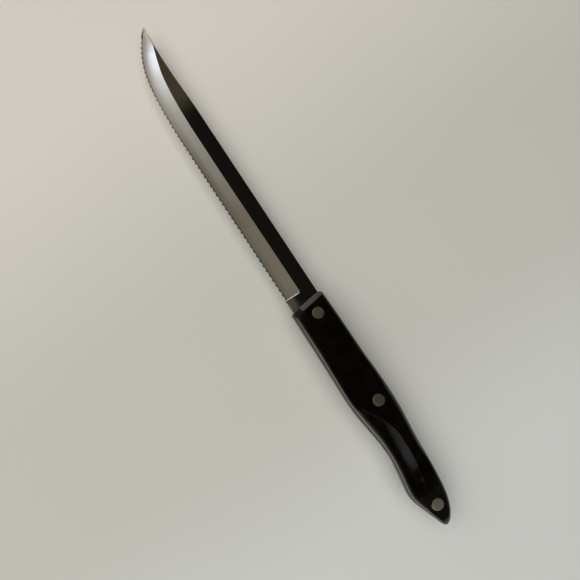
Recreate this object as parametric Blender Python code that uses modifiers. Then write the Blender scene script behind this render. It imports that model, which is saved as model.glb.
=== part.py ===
"""Carving knife on its side: a toothed blade with a full tang, two handle scales and three two-part rivets.

Metres, +Z up. +X runs to the tip and +Y to the cutting edge. The far scale rests on z = 0, and the origin
is below the middle of the knife. The pieces hang on an empty at the height of the blade's middle plane.
"""

import math
from bisect import bisect_right

import bmesh
import bpy

MM = 0.001
GAP = 0.3 * MM

# Steel thickness
BLADE_HALF = 1.15 * MM
TANG_HALF = 1.10 * MM
EDGE_HALF = 0.20 * MM

# Blade plan: x and y of the teeth's line and of the spine, from heel to tip
TIP = (150.0 * MM, -8.2 * MM)
HEEL_X = -20.7 * MM
PLUNGE_RUN = 0.6 * MM
EDGE_POINTS = ((-24, 8.60), (20, 8.85), (60, 9.10), (82, 9.10), (95, 8.80), (105, 8.25), (115, 7.30),
               (123, 6.00), (130, 4.05), (136, 1.60), (142, -1.85), (146.5, -4.95), (150, -8.20))
SPINE_POINTS = ((-30, -7.70), (30, -7.80), (90, -7.85), (100, -7.70), (108, -7.45), (116, -7.25),
                (124, -7.20), (132, -7.35), (140, -7.75), (150, -8.20))

# Hollow grind, whose width falls off near the tip, and teeth
GRIND_POINTS = ((-24, 8.8), (126, 8.8), (133, 8.4), (138, 7.7), (142, 6.6), (146.5, 5.0), (150, 4.0))
GRIND_STEPS = (0.35, 0.70)
GRIND_LINEAR_SHARE = 0.35
SPINE_LAND = 0.4 * MM
TOOTH_PITCH = 3.0 * MM
TOOTH_DEPTH = 0.60 * MM
TOOTH_BEVEL = 0.9 * MM
TOOTH_BEVEL_SHARE = 0.3
TOOTH_CUTS = 3
PLAIN_TIP = 7.5 * MM
LAST_RING = 2.0 * MM

# Handle plan: x and y of both sides, from butt to front, and the half thickness over the tang's middle plane
SPINE_SIDE = ((-150, 1.2), (-149.5, 0.5), (-148.5, -0.7), (-146.5, -2.1), (-144, -3.4), (-140, -4.95),
              (-135, -6.15), (-128, -7.05), (-118, -7.95), (-108, -8.8), (-100, -9.57), (-93, -10.3),
              (-85, -10.65), (-74, -10.25), (-62, -9.75), (-45, -9.6), (-27, -9.15))
BELLY_SIDE = ((-150, 2.6), (-149.5, 3.3), (-148, 4.2), (-145, 5.35), (-136, 8.8), (-132, 10.1),
              (-129.5, 10.33), (-125, 9.8), (-117, 8.52), (-110.5, 7.92), (-104, 8.17), (-96, 9.2),
              (-88, 10.3), (-82, 10.84), (-77, 10.97), (-70, 10.8), (-60, 10.57), (-27, 10.38))
THICKNESS = ((-150, 2.3), (-149.5, 2.9), (-148, 3.9), (-145, 5.2), (-141, 6.4), (-136, 7.5), (-131, 8.1),
             (-127, 8.1), (-119, 7.85), (-110, 7.7), (-101, 7.85), (-90, 8.0), (-80, 8.1), (-27, 8.1))
HANDLE_HALF = 8.1 * MM
BUTT_X = -150.0 * MM
NOSE_LENGTH = 19.0 * MM
NOSE_STEPS = 9
BODY_STEP = 4.0 * MM

# Handle section: how square it is on each side along x, with a flat crown and sides that draw in a little
BELLY_SQUARENESS = ((-150, 4.0), (-144, 6.0), (-137, 7.0), (-130, 6.0), (-112, 6.0), (-100, 5.0), (-88, 5.5),
                    (-76, 6.5), (-64, 6.2), (-54, 5.2), (-27, 5.0))
SPINE_SQUARENESS = ((-150, 4.0), (-140, 8.0), (-122, 8.0), (-112, 4.5), (-100, 5.0), (-86, 5.0), (-72, 8.0),
                    (-27, 8.0))
DRAFT = 0.04
SECTION_SHARES = (1.0, 0.992, 0.97, 0.93, 0.86, 0.76, 0.62, 0.4)

# Finger scoop in each face at the waist: its nearest point to the spine, the bow of its rim and its slope,
# which grows towards the butt
SCOOP_X = -105.0 * MM
SCOOP_Y = -2.5 * MM
SCOOP_BOWS = (0.0068 / MM, 0.0236 / MM)
SCOOP_SLOPE = 0.10
SCOOP_SLOPE_GROWTH = 0.0018 / MM
SCOOP_SLOPE_FROM = -108.0 * MM

# Front of the handle: a slanted foot line, and a bevelled ramp up to the crown that pinches out at the belly
FOOT_X = -27.0 * MM
FOOT_LEAN = 0.165
LEAN_FADE = 20.0 * MM
RAMP_RUN = 3.1 * MM
RAMP_SHOULDER = 0.6 * MM
RAMP_SLOPE = 0.78
RAMP_EDGE = 0.35 * MM
RAMP_PINCH = (4.4 * MM, 7.6 * MM)
RAMP_STEEPER = 5.0
RAMP_SHARES = (1.0, 0.9, 0.8, 0.55, 0.3, 0.16, 0.1, 0.04, 0.0)
BELLY_CORNER = 0.8 * MM
SPINE_CORNER = 2.4 * MM
SHOULDER_RUN = 0.25 * MM
TANG_SHARES = (0.0, 0.3, 0.55, 0.8, 1.0)

# Two-part rivets, ground down to the scales
RIVETS = {"front": (-35.0 * MM, -1.35 * MM),
          "middle": (-85.0 * MM, -2.6 * MM),
          "butt": (-138.5 * MM, 1.15 * MM)}
HEAD_RADIUS = 2.9 * MM
HEAD_SEAT = 4.0 * MM
HEAD_FIT = 0.15 * MM
HEAD_SUNK = 0.05 * MM
TUBE_RADIUS = 2.2 * MM
BORE_RADIUS = 1.5 * MM
PIN_REACH = 2.9 * MM
TURN_STEPS = 24
BLANK_REACH = 12.0 * MM

# Finishes: colour, roughness and metallic value
STEEL = ((0.42, 0.42, 0.40, 1.0), 0.22, 1.0)
RESIN = ((0.012, 0.009, 0.008, 1.0), 0.12, 0.0)
NICKEL = ((0.47, 0.45, 0.38, 1.0), 0.30, 1.0)


def smooth_through(points, unit=MM):
    """Returns y(x), a smooth curve that never overshoots its points: x in millimetres, y in some unit."""
    xs = [x * MM for x, _ in points]
    ys = [y * unit for _, y in points]
    runs = [b - a for a, b in zip(xs, xs[1:])]
    rises = [(b - a) / run for a, b, run in zip(ys, ys[1:], runs)]
    turns = [0.0 if a * b <= 0 else 2 * a * b / (a + b) for a, b in zip(rises, rises[1:])]
    slopes = [rises[0], *turns, rises[-1]]

    def curve(x):
        i = min(max(bisect_right(xs, x) - 1, 0), len(runs) - 1)
        t = (x - xs[i]) / runs[i]
        start = (1 + 2 * t) * (1 - t) ** 2 * ys[i] + t * (1 - t) ** 2 * runs[i] * slopes[i]
        end = t * t * (3 - 2 * t) * ys[i + 1] + t * t * (t - 1) * runs[i] * slopes[i + 1]
        return start + end

    return curve


edge_line = smooth_through(EDGE_POINTS)
spine_line = smooth_through(SPINE_POINTS)
spine_side = smooth_through(SPINE_SIDE)
belly_side = smooth_through(BELLY_SIDE)
half_thickness = smooth_through(THICKNESS)
belly_squareness = smooth_through(BELLY_SQUARENESS, 1.0)
spine_squareness = smooth_through(SPINE_SQUARENESS, 1.0)
grind_width = smooth_through(GRIND_POINTS)


def loft(rings):
    """Returns a closed mesh that skins rings of equal count, in order, with a flat cap at each end."""
    bm = bmesh.new()
    rows = [[bm.verts.new(point) for point in ring] for ring in rings]
    for row, after in zip(rows, rows[1:]):
        for i in range(len(row)):
            bm.faces.new((row[i - 1], row[i], after[i], after[i - 1]))
    bm.faces.new(rows[0])
    bm.faces.new(rows[-1])
    bmesh.ops.recalc_face_normals(bm, faces=bm.faces)
    return bm, rows


def handle_stations():
    """Returns the handle's sections, butt to front: x, lean, belly, spine, half thickness, way to the foot."""
    quarter = math.pi / 2
    nose = [BUTT_X + NOSE_LENGTH * (1 - math.cos(quarter * i / NOSE_STEPS)) for i in range(NOSE_STEPS)]
    ramp_back = FOOT_X - RAMP_RUN
    count = round((ramp_back - nose[-1]) / BODY_STEP)
    body = [nose[-1] + (ramp_back - nose[-1]) * i / count for i in range(1, count)]
    stations = []
    for x in nose + body:
        lean = max(0.0, 1 - (FOOT_X - x) / LEAN_FADE)
        stations.append((x, lean, belly_side(x), spine_side(x), half_thickness(x), FOOT_X - x))
    for share in RAMP_SHARES:
        back = RAMP_RUN * share
        x = FOOT_X - back
        belly = belly_side(x) - corner_inset(back, BELLY_CORNER)
        spine = spine_side(x) + corner_inset(back, SPINE_CORNER)
        stations.append((x, 1 - back / LEAN_FADE, belly, spine, half_thickness(x), back))
    return stations


def corner_inset(back, radius):
    """Returns how far a rounded corner draws a side in, at a distance behind the foot line."""
    corner = max(0.0, 1 - back / radius)
    return radius * (1 - math.sqrt(1 - corner * corner))


def ramp_drop(back, y):
    """Returns how far the front ramp has come down: a rounded shoulder, a bevel and a rounded edge."""
    start, end = RAMP_PINCH
    share = min(1.0, max(0.0, (y - start) / (end - start)))
    back *= 1 + RAMP_STEEPER * share * share * (3 - 2 * share)
    bevel = RAMP_RUN - RAMP_SHOULDER
    if back > RAMP_RUN:
        return 0.0
    if back > bevel:
        return RAMP_SLOPE * (RAMP_RUN - back) ** 2 / (2 * RAMP_SHOULDER)
    return RAMP_SLOPE * (RAMP_SHOULDER / 2 + bevel - back) + corner_inset(back, RAMP_EDGE)


def scoop_depth(x, y):
    """Returns how deep the finger scoop is at a point of the handle's face."""
    run = x - SCOOP_X
    rim = SCOOP_Y + SCOOP_BOWS[run > 0] * run * run
    slope = SCOOP_SLOPE + SCOOP_SLOPE_GROWTH * max(0.0, SCOOP_SLOPE_FROM - x)
    return slope * max(0.0, y - rim)


def scale_arc(station, sunk=0.0):
    """Returns one section of the near scale's outside, from belly seam over the crown to spine seam."""
    x, lean, belly, spine, height, back = station
    height -= sunk
    seam = TANG_HALF + GAP
    middle = (belly + spine) / 2
    depth = (belly - spine) / 2
    flat = SECTION_SHARES[-1]
    arc = []
    for share in SECTION_SHARES + tuple(-share for share in reversed(SECTION_SHARES)):
        power = belly_squareness(x) if share > 0 else spine_squareness(x)
        crown = (1 - flat ** power) ** (1 / power)
        widest = (1 - (seam * crown / height) ** power) ** (1 / power)
        z = height
        if abs(share) > flat:
            z = min(z, height / crown * (1 - abs(widest * share) ** power) ** (1 / power))
        y = middle + share * (depth - DRAFT * (z - seam))
        z -= ramp_drop(back, y) * (z - seam) / (height - seam)
        z -= scoop_depth(x, y) * (z - seam) / height
        arc.append((x - FOOT_LEAN * lean * y, y, z))
    return arc


def grind_half(share):
    """Returns half the steel's thickness in the hollow grind, at a share of the way in from the edge."""
    curve = GRIND_LINEAR_SHARE * share + (1 - GRIND_LINEAR_SHARE) * share * share
    return EDGE_HALF + (BLADE_HALF - EDGE_HALF) * curve


def edge_points():
    """Returns points along the edge a tooth apart, heel to tip, each with the direction in from the edge."""
    nudge = 0.01 * MM
    points = []
    x = HEEL_X
    while math.dist((x, edge_line(x)), TIP) > LAST_RING:
        slope = (edge_line(x + nudge) - edge_line(x - nudge)) / (2 * nudge)
        length = math.hypot(1, slope)
        points.append((x, edge_line(x), slope / length, -1 / length))
        x += TOOTH_PITCH / length
    return points


def reach_to_spine(x, y, in_x, in_y):
    """Returns how far the spine is from an edge point, straight in from the edge."""
    near, far = 0.0, 20.0 * MM
    while far - near > 0.001 * MM:
        middle = (near + far) / 2
        inside = y + middle * in_y > spine_line(x + middle * in_x)
        near, far = (middle, far) if inside else (near, middle)
    return near


def steel_ring(middle, side):
    """Returns a section of the blade: its middle point at the edge, then up one side and down the other."""
    mirrored = [(x, y, -z) for x, y, z in reversed(side)]
    return [middle, *side, *mirrored]


def ground_ring(x, y, in_x, in_y):
    """Returns the blade's section at a tooth point: tooth bevel, hollow grind and flat."""
    reach = reach_to_spine(x, y, in_x, in_y)
    width = grind_width(x)
    ground = min(width, reach - SPINE_LAND)
    bevel = min(TOOTH_BEVEL, TOOTH_BEVEL_SHARE * ground)
    steps = [bevel] + [bevel + (ground - bevel) * share for share in GRIND_STEPS] + [ground]
    side = [(x + d * in_x, y + d * in_y, grind_half(d / width)) for d in steps]
    side.append((x + reach * in_x, y + reach * in_y, grind_half(ground / width)))
    return steel_ring((x, y, 0.0), side)


def flat_ring(x, lean, belly, spine, half):
    """Returns a plain section of the tang or heel, between its belly and its spine."""
    ys = [belly + (spine - belly) * share for share in TANG_SHARES]
    side = [(x - FOOT_LEAN * lean * y, y, half) for y in ys]
    return steel_ring((x - FOOT_LEAN * lean * belly, belly, 0.0), side)


def plunge_ring(first):
    """Returns the heel's full-thickness section, from which a short wall drops to the hollow grind."""
    x = HEEL_X - PLUNGE_RUN
    ys = [edge_line(x)] + [y for _, y, _ in first[2:6]]
    return steel_ring((x, ys[0], 0.0), [(x, y, BLADE_HALF) for y in ys])


def hollow_the_teeth(bm, points):
    """Cuts a shallow scallop between each tooth point and the next."""
    for tooth, after in zip(points, points[1:]):
        run = (after.co - tooth.co).normalized()
        last = tooth
        for cut in range(TOOTH_CUTS):
            left = TOOTH_CUTS + 1 - cut
            _, last = bmesh.utils.edge_split(bm.edges.get((last, after)), last, 1 / left)
            share = (cut + 1) / (TOOTH_CUTS + 1)
            sag = TOOTH_DEPTH * 4 * share * (1 - share)
            last.co = tooth.co.lerp(after.co, share)
            last.co.x += sag * run.y
            last.co.y -= sag * run.x


def blade_mesh():
    """Returns the steel: tang, heel and toothed, hollow-ground blade, in one piece."""
    stations = handle_stations()
    rings = [flat_ring(x, lean, belly, spine, TANG_HALF) for x, lean, belly, spine, *_ in stations]
    shoulder = FOOT_X + SHOULDER_RUN
    rings.append(flat_ring(shoulder, 1.0, edge_line(shoulder), spine_line(shoulder), BLADE_HALF))
    points = edge_points()
    ground = [ground_ring(*point) for point in points]
    teeth = sum(math.dist(point[:2], TIP) > PLAIN_TIP for point in points)
    rings.append(plunge_ring(ground[0]))
    rings += ground
    bm, rows = loft(rings)
    tip = bm.verts.new((*TIP, 0.0))
    cap = next(face for face in bm.faces if set(face.verts) == set(rows[-1]))
    bmesh.ops.delete(bm, geom=[cap], context="FACES_ONLY")
    for i in range(len(rows[-1])):
        bm.faces.new((rows[-1][i - 1], rows[-1][i], tip))
    hollow_the_teeth(bm, [row[0] for row in rows[-len(ground):][:teeth]])
    bmesh.ops.recalc_face_normals(bm, faces=bm.faces)
    return bm


def scale_mesh(side):
    """Returns one handle scale before drilling: side is 1 for the near one and -1 for the far one."""
    rings = [[(x, y, side * z) for x, y, z in scale_arc(station)] for station in handle_stations()]
    return loft(rings)[0]


def handle_envelope():
    """Returns the whole handle's outside, sunk a little, which the rivet heads are ground down to."""
    rings = []
    for station in handle_stations():
        arc = scale_arc(station, HEAD_SUNK)
        rings.append(arc + [(x, y, -z) for x, y, z in reversed(arc)])
    return loft(rings)[0]


def turned_mesh(profile):
    """Returns a profile in the XZ plane, to be turned about Z by a Screw modifier."""
    bm = bmesh.new()
    verts = [bm.verts.new((radius, 0.0, z)) for radius, z in profile]
    for a, b in zip(verts, verts[1:]):
        bm.edges.new((a, b))
    return bm


def bore_profile():
    """Returns the stepped hole for one rivet, right through the handle."""
    floor = HEAD_SEAT - GAP
    wide = HEAD_RADIUS + HEAD_FIT
    narrow = TUBE_RADIUS + GAP
    return ((0.0, BLANK_REACH), (wide, BLANK_REACH), (wide, floor), (narrow, floor),
            (narrow, -floor), (wide, -floor), (wide, -BLANK_REACH), (0.0, -BLANK_REACH))


def post_profile():
    """Returns the near half of a rivet: a head on a solid pin."""
    pin = BORE_RADIUS - GAP
    end = -PIN_REACH
    return ((0.0, BLANK_REACH), (HEAD_RADIUS, BLANK_REACH), (HEAD_RADIUS, HEAD_SEAT), (pin, HEAD_SEAT),
            (pin, end), (0.0, end))


def socket_profile():
    """Returns the far half of a rivet: a head on a tube that takes the pin."""
    floor = -(PIN_REACH + GAP)
    rim = HEAD_SEAT - GAP
    return ((0.0, floor), (BORE_RADIUS, floor), (BORE_RADIUS, rim), (TUBE_RADIUS, rim),
            (TUBE_RADIUS, -HEAD_SEAT), (HEAD_RADIUS, -HEAD_SEAT), (HEAD_RADIUS, -BLANK_REACH),
            (0.0, -BLANK_REACH))


def add_object(name, bm, collection, parent, place=(0.0, 0.0)):
    """Makes an object from a mesh, at a place in the knife's middle plane."""
    mesh = bpy.data.meshes.new(name)
    bm.to_mesh(mesh)
    bm.free()
    obj = bpy.data.objects.new(name, mesh)
    obj.parent = parent
    obj.location = (*place, 0.0)
    collection.objects.link(obj)
    return obj


def turn(obj):
    """Turns a profile into a solid of revolution about the object's own Z."""
    screw = obj.modifiers.new("turned", "SCREW")
    screw.steps = TURN_STEPS
    screw.render_steps = TURN_STEPS
    screw.use_merge_vertices = True
    screw.merge_threshold = 0.01 * MM


def combine(obj, other, operation):
    """Adds an exact Boolean with another object."""
    boolean = obj.modifiers.new(other.name, "BOOLEAN")
    boolean.operation = operation
    boolean.object = other


def hide_tool(obj):
    """Marks an object as a cutter."""
    obj.hide_render = True
    obj.display_type = "WIRE"


def paint(obj, finish):
    """Gives an object a material of its own."""
    colour, roughness, metallic = finish
    material = bpy.data.materials.new(obj.name)
    material.use_nodes = True
    shader = material.node_tree.nodes["Principled BSDF"]
    shader.inputs["Base Color"].default_value = colour
    shader.inputs["Roughness"].default_value = roughness
    shader.inputs["Metallic"].default_value = metallic
    obj.data.materials.append(material)


def new_collection(name):
    """Adds a collection to the scene."""
    collection = bpy.data.collections.new(name)
    bpy.context.scene.collection.children.link(collection)
    return collection


def main():
    """Builds the knife."""
    for obj in list(bpy.data.objects):
        bpy.data.objects.remove(obj)
    knife = new_collection("carving_knife")
    cutters = new_collection("cutters")
    centre = bpy.data.objects.new("middle_plane", None)
    centre.location.z = HANDLE_HALF
    knife.objects.link(centre)

    drilled = [add_object("blade", blade_mesh(), knife, centre),
               add_object("near_scale", scale_mesh(1), knife, centre),
               add_object("far_scale", scale_mesh(-1), knife, centre)]
    for obj, finish in zip(drilled, (STEEL, RESIN, RESIN)):
        paint(obj, finish)

    envelope = add_object("handle_envelope", handle_envelope(), cutters, centre)
    hide_tool(envelope)
    for name, place in RIVETS.items():
        bore = add_object(f"{name}_rivet_bore", turned_mesh(bore_profile()), cutters, centre, place)
        turn(bore)
        hide_tool(bore)
        for obj in drilled:
            combine(obj, bore, "DIFFERENCE")
        for half, profile in (("post", post_profile()), ("socket", socket_profile())):
            rivet = add_object(f"{name}_rivet_{half}", turned_mesh(profile), knife, centre, place)
            turn(rivet)
            combine(rivet, envelope, "INTERSECT")
            paint(rivet, NICKEL)


main()
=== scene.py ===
"""Looks of a carving knife that lies on its side on a pale table.

The blade, the handle scales and the rivets are modelled over their CAD nodes, finer and smoother, and get
procedural finishes. Lengths are in metres, in the CAD frame: +X runs to the tip, +Y to the cutting edge and
+Z up.
"""

import logging
import math
from bisect import bisect_right
from collections.abc import Sequence
from dataclasses import dataclass, field
from enum import Enum

import bpy
import numpy as np
from bpy.types import Material, Node, NodeSocket, NodeTree, Object
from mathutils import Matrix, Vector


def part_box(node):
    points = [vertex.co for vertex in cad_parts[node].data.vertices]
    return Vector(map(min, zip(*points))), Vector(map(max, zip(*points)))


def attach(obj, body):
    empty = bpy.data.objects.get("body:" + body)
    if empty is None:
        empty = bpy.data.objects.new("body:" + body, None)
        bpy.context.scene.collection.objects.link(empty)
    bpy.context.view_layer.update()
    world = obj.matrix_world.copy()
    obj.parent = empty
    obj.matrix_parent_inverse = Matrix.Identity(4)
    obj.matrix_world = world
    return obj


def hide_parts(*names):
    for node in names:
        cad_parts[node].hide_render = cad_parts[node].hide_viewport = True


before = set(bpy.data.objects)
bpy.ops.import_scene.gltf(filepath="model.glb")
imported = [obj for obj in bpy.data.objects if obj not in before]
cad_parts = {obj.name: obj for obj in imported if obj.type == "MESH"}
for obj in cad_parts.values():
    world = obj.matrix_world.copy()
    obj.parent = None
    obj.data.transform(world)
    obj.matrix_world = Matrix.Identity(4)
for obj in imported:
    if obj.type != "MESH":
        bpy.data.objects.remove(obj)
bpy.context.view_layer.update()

LOG = logging.getLogger("carving_knife")
MM = 0.001
QUARTER = math.pi / 2
Point = tuple[float, float, float]
Colour = tuple[float, float, float, float]
Span = tuple[float, float]
Section = list[tuple[float, float, float, float]]
GRIND_MAP = "grind_map"
ZONE_NAME = "zone"


class Side(Enum):
    """Which side of the tang a piece is on: near faces up, far faces the table."""

    NEAR = 1
    FAR = -1


class Half(Enum):
    """The two halves of a rivet."""

    POST = "post"
    SOCKET = "socket"


class Zone(Enum):
    """How a face of the steel was finished."""

    POLISHED = 0
    GROUND = 1
    TOOTH = 2
    WALL = 3


class SmoothLine:
    """A curve y(x) through a few points, without overshoot between them."""

    def __init__(self, points: Sequence[tuple[float, float]], unit: float = MM) -> None:
        """Sets the curve up.

        Args:
            points: x and y of each point, with x in millimetres and rising.
            unit: the unit of y, millimetres if nothing else is given.
        """
        self.xs = [x * MM for x, _ in points]
        self.ys = [y * unit for _, y in points]
        self.runs = [b - a for a, b in zip(self.xs, self.xs[1:])]
        rises = [(b - a) / run for a, b, run in zip(self.ys, self.ys[1:], self.runs)]
        turns = [0.0 if a * b <= 0 else 2 * a * b / (a + b) for a, b in zip(rises, rises[1:])]
        self.slopes = [rises[0], *turns, rises[-1]]

    def __call__(self, x: float) -> float:
        """Follows the curve.

        Args:
            x: where, in metres.

        Returns:
            y there, in metres if its unit is a length.
        """
        i = min(max(bisect_right(self.xs, x) - 1, 0), len(self.runs) - 1)
        run = self.runs[i]
        t = (x - self.xs[i]) / run
        start = (1 + 2 * t) * (1 - t) ** 2 * self.ys[i] + t * (1 - t) ** 2 * run * self.slopes[i]
        end = t * t * (3 - 2 * t) * self.ys[i + 1] + t * t * (t - 1) * run * self.slopes[i + 1]
        return start + end


class Workpiece:
    """A mesh on the bench, pressed from a flat grid by Blender's operators, with the selection kept clean."""

    WELD = 0.001 * MM
    SLIVER = 0.0001 * MM

    def __init__(self, name: str, sections: Sequence[Sequence[Sequence[float]]]) -> None:
        """Adds the flat grid.

        Args:
            name: the object's name.
            sections: the shape, with a column of the grid for each section and a row for each of its points,
                which start with x, y and z.
        """
        self.sections = sections
        columns, rows = len(sections) - 1, len(sections[0]) - 1
        self.clear()
        bpy.ops.mesh.primitive_grid_add(x_subdivisions=columns, y_subdivisions=rows, size=1.0)
        self.obj = bpy.context.object
        self.obj.name = name
        self.obj.data.name = name
        flat = [(vert.co.x + 0.5, vert.co.y + 0.5) for vert in self.obj.data.vertices]
        self.cells = [(round(x * columns), round(y * rows)) for x, y in flat]

    @staticmethod
    def clear() -> None:
        """Leaves edit mode and deselects everything."""
        if bpy.context.object and bpy.context.object.mode != "OBJECT":
            bpy.ops.object.mode_set(mode="OBJECT")
        bpy.ops.object.select_all(action="DESELECT")

    def pick(self) -> None:
        """Makes the piece the only object selected, and the active one."""
        self.clear()
        self.obj.select_set(True)
        bpy.context.view_layer.objects.active = self.obj

    def enter(self) -> None:
        """Opens the piece in edit mode, with all of it selected."""
        self.pick()
        bpy.ops.object.mode_set(mode="EDIT")
        bpy.ops.mesh.select_all(action="SELECT")

    def leave(self) -> None:
        """Turns the faces outwards and leaves edit mode."""
        bpy.ops.mesh.select_all(action="SELECT")
        bpy.ops.mesh.normals_make_consistent(inside=False)
        bpy.ops.object.mode_set(mode="OBJECT")

    def press(self) -> None:
        """Presses the grid to its sections and merges the points that meet."""
        for vert, (column, row) in zip(self.obj.data.vertices, self.cells):
            vert.co = self.sections[column][row][:3]
        self.enter()
        bpy.ops.mesh.remove_doubles(threshold=self.WELD)
        bpy.ops.mesh.dissolve_degenerate(threshold=self.SLIVER)
        self.leave()

    def close_rim(self) -> None:
        """Fills the open rim with one flat face."""
        self.enter()
        bpy.ops.mesh.select_mode(type="EDGE")
        bpy.ops.mesh.select_all(action="DESELECT")
        bpy.ops.mesh.select_non_manifold()
        bpy.ops.mesh.edge_face_add()
        self.leave()

    def drill(self, centre: Point, radius: float, depth: float, sides: int) -> None:
        """Cuts a round hole along Z.

        Args:
            centre: the middle of the hole.
            radius: the hole's radius.
            depth: the hole's whole length.
            sides: how many flats the hole has.
        """
        self.clear()
        bpy.ops.mesh.primitive_cylinder_add(vertices=sides, radius=radius, depth=depth, location=centre)
        drill = bpy.context.object
        self.pick()
        hole = self.obj.modifiers.new("hole", "BOOLEAN")
        hole.operation = "DIFFERENCE"
        hole.solver = "EXACT"
        hole.object = drill
        bpy.ops.object.modifier_apply(modifier=hole.name)
        bpy.data.objects.remove(drill)

    def finish(self, height: float, crease: float, material: Material) -> Object:
        """Lifts the piece, within its mesh, shades it and gives it its material.

        Args:
            height: how high the knife's middle plane is, about which the piece is modelled.
            crease: the turn in degrees beyond which an edge stays sharp.
            material: the material.

        Returns:
            The finished piece.
        """
        self.pick()
        bpy.ops.transform.translate(value=(0.0, 0.0, height))
        bpy.ops.object.transform_apply(location=True, rotation=True, scale=True)
        bpy.ops.object.shade_smooth_by_angle(angle=math.radians(crease))
        self.obj.data.materials.clear()
        self.obj.data.materials.append(material)
        return self.obj


class Value:
    """A shader value. Python's operators on it add Math nodes."""

    def __init__(self, tree: "Nodes", socket: NodeSocket) -> None:
        """Wraps an output socket of a node tree."""
        self.tree = tree
        self.socket = socket

    def math(self, operation: str, *others: "Value | float") -> "Value":
        """Adds a Math node, whose first input is this value.

        Args:
            operation: the node's operation.
            others: its further inputs.

        Returns:
            The node's result.
        """
        inputs = dict(enumerate((self, *others)))
        return self.tree.value("ShaderNodeMath", {"operation": operation}, inputs)

    def __add__(self, other: "Value | float") -> "Value":
        """Adds."""
        return self.math("ADD", other)

    def __sub__(self, other: "Value | float") -> "Value":
        """Takes away."""
        return self.math("SUBTRACT", other)

    def __rsub__(self, other: float) -> "Value":
        """Is taken away from a number."""
        return self.math("MULTIPLY_ADD", -1.0, other)

    def __mul__(self, other: "Value | float") -> "Value":
        """Multiplies."""
        return self.math("MULTIPLY", other)

    def __truediv__(self, other: "Value | float") -> "Value":
        """Divides."""
        return self.math("DIVIDE", other)

    __radd__ = __add__
    __rmul__ = __mul__

    def step(self, start: float, end: float) -> "Value":
        """Makes a smooth step.

        Args:
            start: where it is still 0.
            end: where it has reached 1, which may be the lower of the two.

        Returns:
            The step.
        """
        settings = {"interpolation_type": "SMOOTHSTEP"}
        inputs = {"Value": self, "From Min": start, "From Max": end, "To Min": 0.0, "To Max": 1.0}
        return self.tree.value("ShaderNodeMapRange", settings, inputs, "Result")


class Nodes:
    """A node tree that is being filled."""

    def __init__(self, tree: NodeTree) -> None:
        """Wraps a node tree."""
        self.tree = tree

    def node(self, kind: str, settings: dict | None = None, inputs: dict | None = None) -> Node:
        """Adds a node.

        Args:
            kind: the node's type.
            settings: its settings, which are set first.
            inputs: a number, a colour or a Value for each socket, by name or number.

        Returns:
            The node.
        """
        node = self.tree.nodes.new(kind)
        for key, value in (settings or {}).items():
            setattr(node, key, value)
        for key, value in (inputs or {}).items():
            self.feed(node.inputs[key], value)
        return node

    def feed(self, socket: NodeSocket, value: "Value | Colour | float") -> None:
        """Links a socket to a Value, or sets it to a number or colour.

        Args:
            socket: the input socket.
            value: what it gets.
        """
        if isinstance(value, Value):
            self.tree.links.new(value.socket, socket)
        else:
            socket.default_value = value

    def value(self, kind: str, settings: dict | None = None, inputs: dict | None = None,
              output: str | int = 0) -> Value:
        """Adds a node and returns one of its outputs as a Value."""
        return Value(self, self.node(kind, settings, inputs).outputs[output])

    def split(self, vector: Value) -> tuple[Value, ...]:
        """Returns a vector's three parts."""
        node = self.node("ShaderNodeSeparateXYZ", inputs={0: vector})
        return tuple(Value(self, output) for output in node.outputs)

    def stretched(self, vector: Value, scales: Point) -> Value:
        """Returns a vector with each part multiplied by a scale of its own."""
        return self.value("ShaderNodeVectorMath", {"operation": "MULTIPLY"}, {0: vector, 1: scales})

    def noise(self, vector: Value, scale: float = 1.0, detail: float = 2.0) -> Value:
        """Returns a soft noise between 0 and 1."""
        return self.value("ShaderNodeTexNoise", inputs={"Vector": vector, "Scale": scale, "Detail": detail})

    def mixed(self, share: Value, first: "Colour | Value", second: "Colour | Value") -> Value:
        """Returns a colour between two colours."""
        return self.value("ShaderNodeMix", {"data_type": "RGBA"}, {0: share, 6: first, 7: second}, 2)

    def place(self) -> Value:
        """Returns the surface's place in the piece's own coordinates."""
        return self.value("ShaderNodeTexCoord", output="Object")


class Coat(Nodes):
    """A material on one Principled shader."""

    def __init__(self, name: str, **constants: float) -> None:
        """Starts a material.

        Args:
            name: the material's name.
            constants: sockets that are the same all over, by name.
        """
        self.material = bpy.data.materials.new(name)
        self.material.use_nodes = True
        super().__init__(self.material.node_tree)
        self.shader = self.tree.nodes["Principled BSDF"]
        for key, value in constants.items():
            self.shader.inputs[key].default_value = value

    def dress(self, colour: Value, rough: Value, height: Value, bump: Span) -> Material:
        """Links what varies to the shader.

        Args:
            colour: the base colour.
            rough: the roughness.
            height: the surface's fine relief.
            bump: how far that relief goes, and how strongly it shows.

        Returns:
            The material.
        """
        inputs = {"Height": height, "Distance": bump[0], "Strength": bump[1]}
        normal = self.value("ShaderNodeBump", inputs=inputs, output="Normal")
        for key, value in {"Base Color": colour, "Roughness": rough, "Normal": normal}.items():
            self.feed(self.shader.inputs[key], value)
        return self.material


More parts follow.
